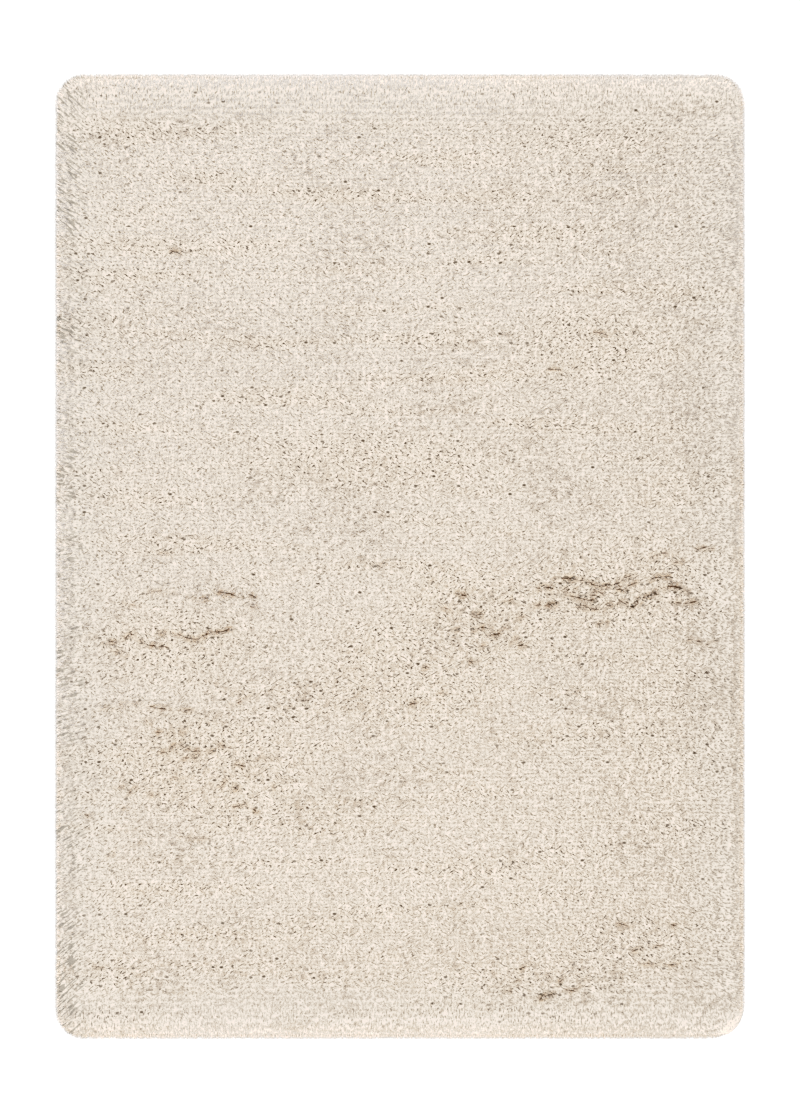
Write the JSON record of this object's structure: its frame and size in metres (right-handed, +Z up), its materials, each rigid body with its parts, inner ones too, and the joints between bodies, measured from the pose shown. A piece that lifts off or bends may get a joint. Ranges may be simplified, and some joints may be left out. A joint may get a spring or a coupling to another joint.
{
  "type": "shag rug",
  "caption": "Cream long-pile rug lying flat, a rounded rectangle with lightly parted pile on top and locks drooping past its ground cloth to the floor all round.",
  "frame": {"origin": "middle of the flat underside, on the floor", "axes": "+X across the rug, +Y along it, +Z up out of the pile"},
  "size_m": [1.25, 1.75, 0.0489],
  "materials": {
    "pile_yarn": "matt cream twisted pile yarn on a woven ground cloth"
  },
  "bodies": {
    "root": {"shag_rug": "pile_yarn"}
  },
  "joints": []
}
